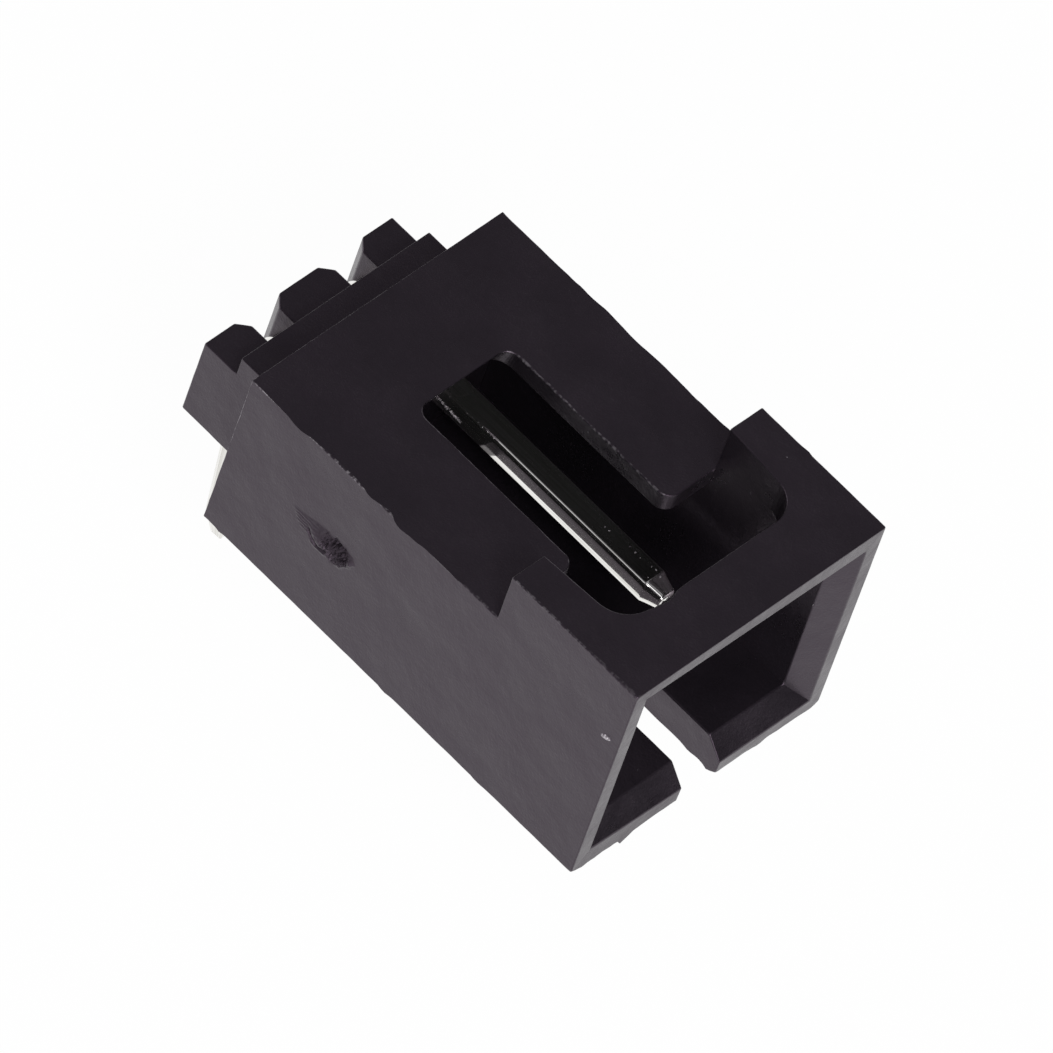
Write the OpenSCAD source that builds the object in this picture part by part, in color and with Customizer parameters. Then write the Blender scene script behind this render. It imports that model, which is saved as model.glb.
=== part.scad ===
// Right-angle shrouded pin header with two circuits, for a printed circuit board.
// Lengths are in millimetres. The origin lies on the board's surface, midway between the two tails.
// +Z points away from the board, and the mating socket opens towards -Y.

/* [Pins] */
// Distance between the two pins
pitch = 2.54; // [2.4:0.01:2.7]
// Side of the square wire
pin_w = 0.64; // [0.5:0.01:0.7]
// Radius along the wire's four edges
pin_edge_r = 0.07; // [0.03:0.01:0.16]
// Height of the mating pins' axis above the board
pin_z = 2.46; // [2.2:0.01:2.8]
// Distance from the socket's front face back to the pin tips
pocket_l = 3.02; // [2.6:0.02:4]
// Length of the taper at a mating tip
tip_l = 0.25; // [0.2:0.05:0.8]
// Width left at the end of a mating tip
tip_w = 0.46; // [0.2:0.01:0.48]
// Radius of the wire's centre line at its bend
bend_r = 0.45; // [0.36:0.01:0.5]
// Angle by which the tails are bent past square, towards the socket
tail_lean = 5; // [0:0.5:6]
// Length of the tails below the board's surface
tail_l = 3.75; // [2.5:0.05:5]
// Length of the taper at a tail's end
tail_tip_l = 0.8; // [0.3:0.05:1.2]
// Width left at a tail's end
tail_tip_w = 0.3; // [0.15:0.01:0.45]
// Clearance between the wire and its hole on each side
pin_fit = 0.01; // [0.005:0.005:0.05]

/* [Housing] */
// Width of the housing
body_w = 7.62; // [7.2:0.02:9]
// Length of the housing from its rear face to its front face
body_l = 11.44; // [10.5:0.02:13]
// Height of the low rear part
rear_h = 4.98; // [4.6:0.02:5.6]
// Rise of the front collar above the rear part
collar_rise = 1.48; // [1.2:0.02:2]
// Length of the front collar
collar_l = 3.86; // [3.4:0.02:4.4]
// Distance from the housing's rear face back to the row of tails, at the board
tail_setback = 1.26; // [1.2:0.01:1.4]

/* [Socket] */
// Thickness of the side walls
side_wall = 0.98; // [0.8:0.02:1.2]
// Thickness of the floor
floor_t = 0.98; // [0.8:0.02:1.3]
// Thickness of the rear part's roof
roof_t = 0.52; // [0.4:0.02:0.8]
// Thickness of the collar's roof
collar_roof_t = 0.95; // [0.8:0.02:1.1]
// Thickness of the wall behind the socket
back_wall = 1.5; // [1:0.05:1.7]
// Width of the flat rim round the mouth
rim_w = 0.48; // [0.35:0.01:0.6]
// Depth of the sloped lead-in behind the rim
lead_in_l = 0.46; // [0.2:0.02:0.7]

/* [Latch window] */
// Width of the slot in the rear part's roof
slot_w = 2.8; // [2:0.05:3.6]
// Distance from the housing's rear face to the slot
slot_start = 2.64; // [2:0.02:4]
// Radius of the slot's rear corners
slot_r = 0.32; // [0.1:0.02:0.6]
// Length of the latch bar in front of the window
bar_l = 1.54; // [1.2:0.02:2]
// Amount by which each side of the window closes in towards the bar
window_draft = 0.15; // [0:0.01:0.3]
// Radius of the window's front corners
window_r = 0.8; // [0.2:0.05:1]
// Radius of the two roof corners where the slot meets the window
tongue_r = 0.34; // [0.1:0.02:0.6]

/* [Key slot] */
// Width of the key slot in the floor
key_w = 1.14; // [0.8:0.02:1.6]
// Length of the key slot from the front face
key_l = 8.8; // [6:0.1:9.4]

/* [Pin block] */
// Width of the block behind the housing
block_w = 5.72; // [5:0.02:6.4]
// Height of the block's underside above the board
block_z = 0.98; // [0.6:0.02:1.4]
// Height of the block's top above the board
block_top = 3.9; // [3.5:0.02:4.4]
// Length of the block behind the housing
block_l = 0.98; // [0.8:0.02:1]
// Height of the posts' tops above the board
post_top = 3.34; // [3:0.02:3.5]
// Length of the posts behind the block
post_l = 0.98; // [0.8:0.02:1.3]
// Width of the gap that each tail stands in
gap_w = 0.81; // [0.76:0.01:1.1]
// Chamfer on the post corners beside each gap
post_chamfer = 0.28; // [0.1:0.02:0.4]

/* [Hidden] */
$fn = 48;
// Overshoot of a cut past the face that it opens
cut = 1;

rear_y = -tail_setback;
front_y = rear_y - body_l;
body_h = rear_h + collar_rise;
collar_y = front_y + collar_l;
bar_y = front_y + bar_l;
back_y = rear_y - back_wall;
slot_y = rear_y - slot_start;
block_y = rear_y + block_l;
post_y = block_y + post_l;

socket_w = body_w - 2 * side_wall;
mouth_w = body_w - 2 * rim_w;
rear_ceiling = rear_h - roof_t;
collar_ceiling = body_h - collar_roof_t;

tip_y = front_y + pocket_l;
bend_angle = 90 + tail_lean;
bend_reach = bend_r * tan(bend_angle / 2);
bend_corner_y = pin_z * tan(tail_lean);
mating_l = bend_corner_y - bend_reach - tip_y;
tail_leg_l = pin_z / cos(tail_lean) - bend_reach + tail_l / cos(tail_lean);
pin_hole_w = pin_w + 2 * pin_fit;

// Puts its children at each pin's place across the header
module at_each_pin() {
    for (side = [-1, 1]) translate([side * pitch / 2, 0, 0]) children();
}

// Rectangle with all four corners rounded by true arcs
module rounded_rect(size, r) {
    square([size[0], size[1] - 2 * r], center = true);
    square([size[0] - 2 * r, size[1]], center = true);
    for (x = [-1, 1], y = [-1, 1])
        translate([x * (size[0] / 2 - r), y * (size[1] / 2 - r)]) circle(r);
}

// Outer block of the housing with its raised front collar, as a side profile
module shell() {
    rotate([90, 0, 90])
        linear_extrude(body_w, center = true)
            polygon([
                [rear_y, 0], [rear_y, rear_h], [collar_y, rear_h],
                [collar_y, body_h], [front_y, body_h], [front_y, 0],
            ]);
}

// Block behind the housing, with three posts that guard the two tails
module pin_block() {
    seated_l = back_wall / 2;
    translate([-block_w / 2, rear_y - seated_l, block_z])
        cube([block_w, seated_l + block_l, block_top - block_z]);
    translate([0, 0, block_z])
        linear_extrude(post_top - block_z)
            difference() {
                translate([-block_w / 2, rear_y]) square([block_w, post_y - rear_y]);
                at_each_pin() tail_gap();
            }
}

// Plan of the gap that one tail stands in, with its chamfered mouth
module tail_gap() {
    mouth = gap_w / 2 + post_chamfer + cut;
    polygon([
        [-gap_w / 2, block_y], [gap_w / 2, block_y], [gap_w / 2, post_y - post_chamfer], [mouth, post_y + cut],
        [-mouth, post_y + cut], [-gap_w / 2, post_y - post_chamfer],
    ]);
}

// Socket that the plug slides into: low at the rear, tall under the collar
module socket() {
    rotate([90, 0, 90])
        linear_extrude(socket_w, center = true)
            polygon([
                [back_y, floor_t], [back_y, rear_ceiling], [collar_y, rear_ceiling],
                [collar_y, collar_ceiling], [front_y - cut, collar_ceiling], [front_y - cut, floor_t],
            ]);
}

// Sloped lead-in on all four sides of the mouth
module lead_in() {
    inner_y = front_y + lead_in_l;
    intersection() {
        linear_extrude(body_h)
            polygon([
                [-mouth_w / 2, front_y - cut], [mouth_w / 2, front_y - cut], [mouth_w / 2, front_y],
                [socket_w / 2, inner_y], [-socket_w / 2, inner_y], [-mouth_w / 2, front_y],
            ]);
        rotate([90, 0, 90])
            linear_extrude(body_w, center = true)
                polygon([
                    [front_y - cut, rim_w], [front_y, rim_w], [inner_y, floor_t],
                    [inner_y, collar_ceiling], [front_y, body_h - rim_w], [front_y - cut, body_h - rim_w],
                ]);
    }
}

// Latch window: a slot in the rear roof that widens under the collar
module latch_window() {
    translate([0, 0, (floor_t + rear_ceiling) / 2])
        linear_extrude(body_h) {
            slot_plan();
            window_plan();
            for (side = [0, 1]) mirror([side, 0]) tongue_corner();
        }
}

// Plan of the slot, rounded at its rear end
module slot_plan() {
    overlap = (collar_y - bar_y) / 2;
    run = slot_y - collar_y + overlap;
    translate([0, slot_y - run / 2]) rounded_rect([slot_w, run], slot_r);
}

// Plan of the window between the collar's two legs, with rounded front corners
module window_plan() {
    half = socket_w / 2;
    lean = atan(window_draft / (collar_y - bar_y));
    corner_x = half - window_draft + window_r * (tan(lean) - 1 / cos(lean));
    corner_y = bar_y + window_r;
    touch = [corner_x + window_r * cos(lean), corner_y - window_r * sin(lean)];
    polygon([
        [-half, collar_y], [half, collar_y], touch, [corner_x, bar_y],
        [-corner_x, bar_y], [-touch[0], touch[1]],
    ]);
    for (side = [-1, 1]) translate([side * corner_x, corner_y]) circle(window_r);
}

// Plan of the rounding on the roof corner between the slot and the window
module tongue_corner() {
    difference() {
        translate([slot_w / 2, collar_y]) square(tongue_r);
        translate([slot_w / 2 + tongue_r, collar_y + tongue_r]) circle(tongue_r);
    }
}

// Key slot through the floor, open at the front
module key_slot() {
    translate([-key_w / 2, front_y - cut, -cut]) cube([key_w, key_l + cut, floor_t + 2 * cut]);
}

// Square hole through the rear wall and the block for one pin
module pin_hole() {
    translate([-pin_hole_w / 2, back_y - cut, pin_z - pin_hole_w / 2])
        cube([pin_hole_w, block_y - back_y + cut + post_l, pin_hole_w]);
}

// Moulded housing
module housing() {
    color([0.16, 0.15, 0.16])
        difference() {
            union() {
                shell();
                pin_block();
            }
            socket();
            lead_in();
            latch_window();
            key_slot();
            at_each_pin() pin_hole();
        }
}

// Section of the square wire, with its edges rounded
module wire_section() {
    rounded_rect([pin_w, pin_w], pin_edge_r);
}

// Straight length of wire along +Z, tapered on all four sides at its far end
module wire_leg(length, taper_l, end_w) {
    intersection() {
        linear_extrude(length) wire_section();
        taper_wedge(length, taper_l, end_w);
        rotate([0, 0, 90]) taper_wedge(length, taper_l, end_w);
    }
}

// Wedge that bounds two opposite sides of a tapered end
module taper_wedge(length, taper_l, end_w) {
    reach = pin_w;
    shoulder = length - taper_l * (reach - end_w / 2) / (pin_w / 2 - end_w / 2);
    rotate([90, 0, 0])
        linear_extrude(2 * pin_w, center = true)
            polygon([
                [-reach, -cut], [reach, -cut], [reach, shoulder], [end_w / 2, length],
                [-end_w / 2, length], [-reach, shoulder],
            ]);
}

// Bend between the mating leg and the tail, about an axis across the header
module wire_bend() {
    rotate([0, 90, 0])
        rotate([0, 0, 180 - bend_angle])
            rotate_extrude(angle = bend_angle)
                translate([bend_r, 0]) wire_section();
}

// Square pin, bent down from the socket to the board
module pin() {
    bend_y = bend_corner_y - bend_reach;
    color([0.8, 0.8, 0.78]) {
        translate([0, bend_y, pin_z]) rotate([90, 0, 0]) wire_leg(mating_l, tip_l, tip_w);
        translate([0, bend_y, pin_z - bend_r]) wire_bend();
        translate([0, bend_corner_y, pin_z])
            rotate([-tail_lean, 0, 0])
                translate([0, 0, -bend_reach])
                    mirror([0, 0, 1]) wire_leg(tail_leg_l, tail_tip_l, tail_tip_w);
    }
}

module left_pin() {
    translate([-pitch / 2, 0, 0]) pin();
}

module right_pin() {
    translate([pitch / 2, 0, 0]) pin();
}

housing();
left_pin();
right_pin();
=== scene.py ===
import math
import bmesh
import bpy
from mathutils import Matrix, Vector, noise


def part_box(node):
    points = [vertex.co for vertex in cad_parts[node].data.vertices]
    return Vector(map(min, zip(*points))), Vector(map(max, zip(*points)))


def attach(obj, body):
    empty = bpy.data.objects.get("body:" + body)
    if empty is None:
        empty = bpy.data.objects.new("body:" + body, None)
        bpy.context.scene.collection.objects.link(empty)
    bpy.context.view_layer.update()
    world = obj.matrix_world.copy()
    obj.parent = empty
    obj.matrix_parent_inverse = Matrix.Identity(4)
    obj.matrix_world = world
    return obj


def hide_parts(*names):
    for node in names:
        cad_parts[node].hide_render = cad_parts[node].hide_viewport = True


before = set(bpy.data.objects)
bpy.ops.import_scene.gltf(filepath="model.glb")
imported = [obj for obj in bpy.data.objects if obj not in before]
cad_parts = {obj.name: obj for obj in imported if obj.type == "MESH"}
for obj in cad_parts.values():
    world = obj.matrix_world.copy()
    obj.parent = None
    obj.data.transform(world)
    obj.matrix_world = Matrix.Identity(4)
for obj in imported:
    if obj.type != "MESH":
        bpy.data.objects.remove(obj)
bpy.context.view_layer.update()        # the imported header, in metres: board surface at z = 0, socket opening towards -y

mm = 0.001
houseLow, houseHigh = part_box("housing")
pinLow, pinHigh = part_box("right_pin")
wireSide = pinHigh.x - pinLow.x
scene = bpy.context.scene


def linear(hexColour):
    channels = [int(hexColour[i:i + 2], 16) / 255 for i in (1, 3, 5)]
    return [c / 12.92 if c <= 0.04045 else ((c + 0.055) / 1.055) ** 2.4 for c in channels] + [1.0]


def within01(x):
    return min(max(x, 0), 1)


# 0 at start and 1 at end, with a straight rise between them
def ramp(x, start, end):
    return within01((x - start) / (end - start))


def bell(x):
    return math.exp(-x * x)


# smooth walk through pairs of a share and a value
def follow(steps, share):
    for (a, low), (b, high) in zip(steps, steps[1:]):
        if share <= b:
            k = (share - a) / (b - a)
            return low + (high - low) * k * k * (3 - 2 * k)
    return steps[-1][1]


def addNode(tree, kind, inputs=None, **settings):
    node = tree.nodes.new(kind)
    for name, value in settings.items():
        setattr(node, name, value)
    for key, value in (inputs or {}).items():
        if isinstance(value, bpy.types.NodeSocket):
            tree.links.new(value, node.inputs[key])
        else:
            node.inputs[key].default_value = value
    return node


def newMaterial(name):
    material = bpy.data.materials.new(name)
    material.use_nodes = True
    material.node_tree.nodes.clear()
    return material, material.node_tree


def addPiece(name, mesh):
    piece = bpy.data.objects.new(name, mesh)
    scene.collection.objects.link(piece)
    return piece


# turns what the modifiers make into the piece's own plain mesh
def settle(piece):
    depsgraph = bpy.context.evaluated_depsgraph_get()
    mesh = bpy.data.meshes.new_from_object(piece.evaluated_get(depsgraph))
    piece.modifiers.clear()
    piece.data = mesh
    mesh.name = piece.name
    return piece


# Camera

photoView = {
    "aim": (2.193, -5.384, -0.560),   # mm, the point in the middle of the photograph
    "azimuth": -60.80,                # degrees, 0 looks along +y
    "elevation": 51.84,               # degrees
    "roll": 20.39,                    # degrees
    "distance": 900,                  # mm
    "pixelsPerMm": 46.84,
    "imageSide": 1053,                # pixels
    "sensor": 36,                     # mm
    "clip": (50, 10000),              # mm, the nearest and the farthest that it sees
}


def setCamera(view):
    az, el, roll = (math.radians(view[k]) for k in ("azimuth", "elevation", "roll"))
    toward = Vector((math.sin(az) * math.cos(el), -math.cos(az) * math.cos(el), math.sin(el)))
    level = Vector((math.cos(az), math.sin(az), 0))
    plumb = toward.cross(level)
    right = math.cos(roll) * level + math.sin(roll) * plumb
    up = toward.cross(right)
    data = bpy.data.cameras.new("photoCamera")
    data.sensor_width = view["sensor"]
    data.lens = view["pixelsPerMm"] * view["distance"] / view["imageSide"] * view["sensor"]
    data.clip_start, data.clip_end = (reach * mm for reach in view["clip"])
    camera = addPiece("photoCamera", data)
    turn = camera.matrix_world.to_3x3()
    for i, axis in enumerate((right, up, toward)):
        turn.col[i] = axis
    camera.matrix_world = turn.to_4x4()
    camera.location = (Vector(view["aim"]) + toward * view["distance"]) * mm
    scene.camera = camera


setCamera(photoView)
print("camera set")


# Studio: white floor, soft lamps, dim room

studio = {
    "floorSide": 1600,          # mm
    "floorGap": 0.02,           # mm between the tail ends and the floor
    "floorColour": "#fcfcfc",
    "shownWhite": 0.975,        # share of the floor's shown tone that no shadow dims
    "roomColour": "#fbf9ff",
    "roomGlow": (0.12, 0.20),   # strength at eye level and overhead
    "roomRise": (0.2, 1.0),     # heights, 0 at eye level and 1 overhead, between which it brightens
    "lampReach": 500,           # mm from the header to each lamp
    "lamps": {                  # sides in mm
        "keyLamp": {"toward": (-0.75, -0.60, 0.28), "side": 500, "watts": 2.35},
        "edgeLamp": {"toward": (-0.45, 0.30, 0.84), "side": 120, "watts": 0.02},
        "rearFill": {"toward": (-0.35, 0.90, 0.25), "side": 320, "watts": 0.5},
        "rightFill": {"toward": (0.95, 0.20, 0.25), "side": 320, "watts": 0.3},
        "topGlow": {"toward": (0.54, 0.30, 0.79), "side": 420, "watts": 0.03},
        "frontFill": {"toward": (-0.42, -0.56, 0.71), "side": 160, "watts": 1.2},
        "tipGlow": {"toward": (0.15, -0.23, 0.96), "side": 110, "watts": 0.05},
    },
}


def whiteFloor(sizes):
    material, tree = newMaterial("paperFloor")
    path = addNode(tree, "ShaderNodeLightPath")
    seen = path.outputs["Is Camera Ray"]
    for ray in ("Is Glossy Ray", "Is Transmission Ray"):
        seen = addNode(tree, "ShaderNodeMath", {0: seen, 1: path.outputs[ray]},
                       operation="ADD", use_clamp=True).outputs[0]
    share = addNode(tree, "ShaderNodeMath", {0: seen, 1: sizes["shownWhite"]}, operation="MULTIPLY")
    paper = addNode(tree, "ShaderNodeBsdfDiffuse", {"Color": linear(sizes["floorColour"])})
    white = addNode(tree, "ShaderNodeEmission", {"Color": (1, 1, 1, 1), "Strength": 1.0})
    mixed = addNode(tree, "ShaderNodeMixShader",
                    {0: share.outputs[0], 1: paper.outputs[0], 2: white.outputs[0]})
    addNode(tree, "ShaderNodeOutputMaterial", {"Surface": mixed.outputs[0]})
    material.cycles.emission_sampling = "NONE"
    half = sizes["floorSide"] / 2 * mm
    z = pinLow.z - sizes["floorGap"] * mm
    corners = [(-half, -half, z), (half, -half, z), (half, half, z), (-half, half, z)]
    mesh = bpy.data.meshes.new("paperFloor")
    mesh.from_pydata(corners, [], [(0, 1, 2, 3)])
    mesh.materials.append(material)
    addPiece("paperFloor", mesh)


def setLamps(sizes):
    target = (houseLow + houseHigh) / 2
    for name, lamp in sizes["lamps"].items():
        data = bpy.data.lights.new(name, "AREA")
        data.size = lamp["side"] * mm
        data.energy = lamp["watts"]
        light = addPiece(name, data)
        toward = Vector(lamp["toward"]).normalized()
        light.rotation_euler = toward.to_track_quat("Z", "Y").to_euler()
        light.location = target + toward * sizes["lampReach"] * mm


def dimRoom(sizes):
    world = bpy.data.worlds.new("dimRoom")
    world.use_nodes = True
    tree = world.node_tree
    tree.nodes.clear()
    way = addNode(tree, "ShaderNodeTexCoord").outputs["Generated"]
    height = addNode(tree, "ShaderNodeSeparateXYZ", {0: way}).outputs["Z"]
    glow = addNode(tree, "ShaderNodeMapRange", {
        "Value": height, "From Min": sizes["roomRise"][0], "From Max": sizes["roomRise"][1],
        "To Min": sizes["roomGlow"][0], "To Max": sizes["roomGlow"][1]})
    room = addNode(tree, "ShaderNodeBackground", {
        "Color": linear(sizes["roomColour"]), "Strength": glow.outputs["Result"]})
    addNode(tree, "ShaderNodeOutputWorld", {"Surface": room.outputs[0]})
    scene.world = world


whiteFloor(studio)
setLamps(studio)
dimRoom(studio)
scene.view_settings.view_transform = "Standard"
print("floor and lamps set")


# Materials

# Glass-filled nylon, moulded in a spark-eroded tool: black with a faint purple cast, matte, pale where it
# mirrors white paper at a shallow angle, rough where torn, and painted grey along some edges, partly as
# rubbed wear and partly as painted highlight.
nylonLook = {
    "dark": "#131114",
    "light": "#171418",
    # grey of rubbed edges, also used as painted highlight on edge roundings
    "paleRubAndHighlight": "#b3aeb3",
    "tint": "#ffe4ff",
    "cloud": 1.8,                # mm
    "cloudRange": (0.3, 0.7),    # noise in the darkest and in the lightest clouds
    "grain": 0.06,               # mm, coarser than the real 0.02 mm so that it shows
    "grainDepth": 0.01,          # mm
    "sink": 0.06,                # mm, shallow waves that the clouds follow
    "rubAndHighlightSpots": 0.09,            # mm
    "spotRange": (0.46, 0.62),   # noise between and in the rubbed and highlighted spots
    "spotLeast": 0.04,           # share of the rubbing and painted highlight that shows between the spots
    "roughness": (0.26, 0.38),
    "roughGrain": 0.13,          # mm
    "roughSpread": 0.14,         # how far the grain changes the roughness
    "tornRoughness": 0.85,
    "ior": 1.55,
    "details": {"cloud": 3.0, "grain": 2.0, "rubAndHighlightSpots": 1.0, "roughGrain": 2.0},   # of each noise
}


def mouldedNylon(look):
    material, tree = newMaterial("glassFilledNylon")
    place = addNode(tree, "ShaderNodeTexCoord").outputs["Object"]
    patterns = {}
    for name, detail in look["details"].items():
        patterns[name] = addNode(tree, "ShaderNodeTexNoise", {
            "Vector": place, "Scale": 1 / (look[name] * mm), "Detail": detail}).outputs["Fac"]
    cloud = patterns["cloud"]
    black = addNode(tree, "ShaderNodeValToRGB", {"Fac": cloud})
    for i, shade in enumerate(("dark", "light")):
        black.color_ramp.elements[i].position = look["cloudRange"][i]
        black.color_ramp.elements[i].color = linear(look[shade])
    # pale grey mixed in along edges and on dust: rubbed wear and painted highlight together, dotted by noise
    scuff = addNode(tree, "ShaderNodeAttribute", attribute_name="scuff").outputs["Fac"]
    dotted = addNode(tree, "ShaderNodeMapRange", {
        "Value": patterns["rubAndHighlightSpots"], "From Min": look["spotRange"][0], "From Max": look["spotRange"][1],
        "To Min": look["spotLeast"], "To Max": 1.0})
    rubAndHighlightShare = addNode(tree, "ShaderNodeMath", {0: scuff, 1: dotted.outputs["Result"]}, operation="MULTIPLY")
    colour = addNode(tree, "ShaderNodeMixRGB", {
        "Fac": rubAndHighlightShare.outputs[0], "Color1": black.outputs["Color"], "Color2": linear(look["paleRubAndHighlight"])})
    rough = addNode(tree, "ShaderNodeMapRange", {
        "Value": cloud, "From Min": look["cloudRange"][0], "From Max": look["cloudRange"][1],
        "To Min": look["roughness"][0], "To Max": look["roughness"][1]})
    spread = addNode(tree, "ShaderNodeMath", {
        0: patterns["roughGrain"], 1: look["roughSpread"], 2: -look["roughSpread"] / 2},
        operation="MULTIPLY_ADD")
    grainy = addNode(tree, "ShaderNodeMath", {0: rough.outputs["Result"], 1: spread.outputs[0]},
                     operation="ADD")
    torn = addNode(tree, "ShaderNodeAttribute", attribute_name="torn").outputs["Fac"]
    ragged = addNode(tree, "ShaderNodeMapRange", {
        "Value": torn, "To Min": grainy.outputs[0], "To Max": look["tornRoughness"]})
    height = addNode(tree, "ShaderNodeMath", {0: patterns["grain"], 1: cloud}, operation="MULTIPLY")
    waves = addNode(tree, "ShaderNodeBump", {
        "Height": cloud, "Distance": look["sink"] * mm, "Strength": 1.0})
    bump = addNode(tree, "ShaderNodeBump", {
        "Height": height.outputs[0], "Distance": look["grainDepth"] * mm, "Strength": 1.0,
        "Normal": waves.outputs["Normal"]})
    shader = addNode(tree, "ShaderNodeBsdfPrincipled", {
        "Base Color": colour.outputs["Color"], "Roughness": ragged.outputs["Result"], "IOR": look["ior"],
        "Specular Tint": linear(look["tint"]), "Normal": bump.outputs["Normal"]})
    addNode(tree, "ShaderNodeOutputMaterial", {"Surface": shader.outputs[0]})
    return material


# Bright tin over drawn brass wire: a soft mirror with fine streaks along the wire.
tinLook = {
    "bright": "#f0efec",
    "dull": "#d2d0ca",
    "streakWidth": 0.05,         # mm
    "streakLength": 2.5,         # mm
    "streakDetail": 3.0,
    "toneRange": (0.3, 0.6),     # noise in the dull and in the bright streaks
    "roughness": (0.09, 0.03),
    "roughRange": (0.3, 0.7),    # noise in the roughest and in the smoothest streaks
    "metallic": 0.975,           # the rest is a thin haze of oxide
}


def brightTin(look):
    material, tree = newMaterial("brightTin")
    place = addNode(tree, "ShaderNodeAttribute", attribute_name="wirePlace").outputs["Vector"]
    wide, long = 1 / (look["streakWidth"] * mm), 1 / (look["streakLength"] * mm)
    drawn = addNode(tree, "ShaderNodeMapping", {"Vector": place, "Scale": (wide, wide, long)})
    streak = addNode(tree, "ShaderNodeTexNoise", {
        "Vector": drawn.outputs[0], "Scale": 1.0, "Detail": look["streakDetail"]}).outputs["Fac"]
    tone = addNode(tree, "ShaderNodeValToRGB", {"Fac": streak})
    for i, shade in enumerate(("dull", "bright")):
        tone.color_ramp.elements[i].position = look["toneRange"][i]
        tone.color_ramp.elements[i].color = linear(look[shade])
    rough = addNode(tree, "ShaderNodeMapRange", {
        "Value": streak, "From Min": look["roughRange"][0], "From Max": look["roughRange"][1],
        "To Min": look["roughness"][0], "To Max": look["roughness"][1]})
    shader = addNode(tree, "ShaderNodeBsdfPrincipled", {
        "Base Color": tone.outputs["Color"], "Metallic": look["metallic"],
        "Roughness": rough.outputs["Result"]})
    addNode(tree, "ShaderNodeOutputMaterial", {"Surface": shader.outputs[0]})
    return material


nylon = mouldedNylon(nylonLook)
tin = brightTin(tinLook)
print("materials made")


# Housing: the CAD solid with rounded, slightly ragged edges, thin flash and the torn mark of its gate

mouldedHousing = {
    "mergeReach": 0.002,     # mm
    "near": 0.01,            # mm, a point this close to a plane counts as on it
    "cutReach": 0.00001,     # mm, the same for the cuts of a fine grid
    "flatAngle": 1,          # degrees, flatter edges are dissolved
    "sharpAngle": 25,        # degrees, sharper edges get rounded
    "sliverAngle": 10,       # degrees, edges at sharper corners of a face stay as they are
    "sameFace": 0.98,        # least cosine between normals that count as one flat face's
    "sameRim": 0.94,         # least cosine between two edges of a rim that runs straight on
    "sameWear": 0.9,         # least cosine between a rim or its face and those of a worn edge
    "rungSpacing": 0.12,     # mm between points along an edge
    "edgeRound": 0.035,      # mm
    "roundSteps": 2,         # faces across a rounded edge
    "roundProfile": 0.5,     # a quarter circle's
    "arcShare": 0.586,       # how far the middle of a rounded edge follows its two sides
    "wobble": 0.009,         # mm, on every edge
    "wobbleWave": 0.40,      # mm
    "wearReach": 0.12,       # mm from an edge line to the points that its wear moves
    "wearPast": 0.02,        # share of an edge's run by which its wear goes past its ends
    "chipReach": 5,          # how many times its cut a corner's chip reaches
    "chipGrip": 0.2,         # least share of a chip's direction that lies along the faces of a moved point
    "rear": -1.26,           # mm, the rear face
    "rearTop": 4.98,         # mm, the rear roof
    "collarLength": 3.86,    # mm
    "barLength": 1.54,       # mm
    "keyHalf": 0.57,         # mm
    "keyLength": 8.8,        # mm
    "slotHalf": 1.4,         # mm
    "slotRear": -3.9,        # mm
    "blockRear": -0.28,      # mm
    "postRound": 0.01,       # mm more than edgeRound on the posts behind the pin block
    "rearCrisp": 0.016,      # mm less than edgeRound on the edges of the rear face
    "rearReach": 0.05,       # mm from the rear face to the points on its edges
    "slotRound": 0.32,       # mm, at the slot's rear corners
    "slotFoot": 4.46,        # mm, the lower side of the roof that the slot is cut through
    "slotLean": 0.21,        # mm by which the slot's rear end leans back at its foot
    "rimWidth": 0.48,        # mm, round the mouth
    "rimLeans": {"left": 0.04, "right": 0.022, "low": 0.02},   # mm that one side of each strip stands back
}
left, right = houseLow.x / mm, houseHigh.x / mm
front, top = houseLow.y / mm, houseHigh.z / mm
rear, rearTop = mouldedHousing["rear"], mouldedHousing["rearTop"]
collarRear, barRear = front + mouldedHousing["collarLength"], front + mouldedHousing["barLength"]
keyHalf, keyRear = mouldedHousing["keyHalf"], front + mouldedHousing["keyLength"]
slotHalf, slotRear = mouldedHousing["slotHalf"], mouldedHousing["slotRear"]

nickLeft, nickRight = -2.0, -0.9   # mm, the ends of the nick in the bar's rear edge
cornerRun = 0.6                    # mm of the rim that is worn on both sides of its upper left corner
cornerSlides = ((0, -0.045), (0.15, -0.03), (0.4, 0), (1, 0))
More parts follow.
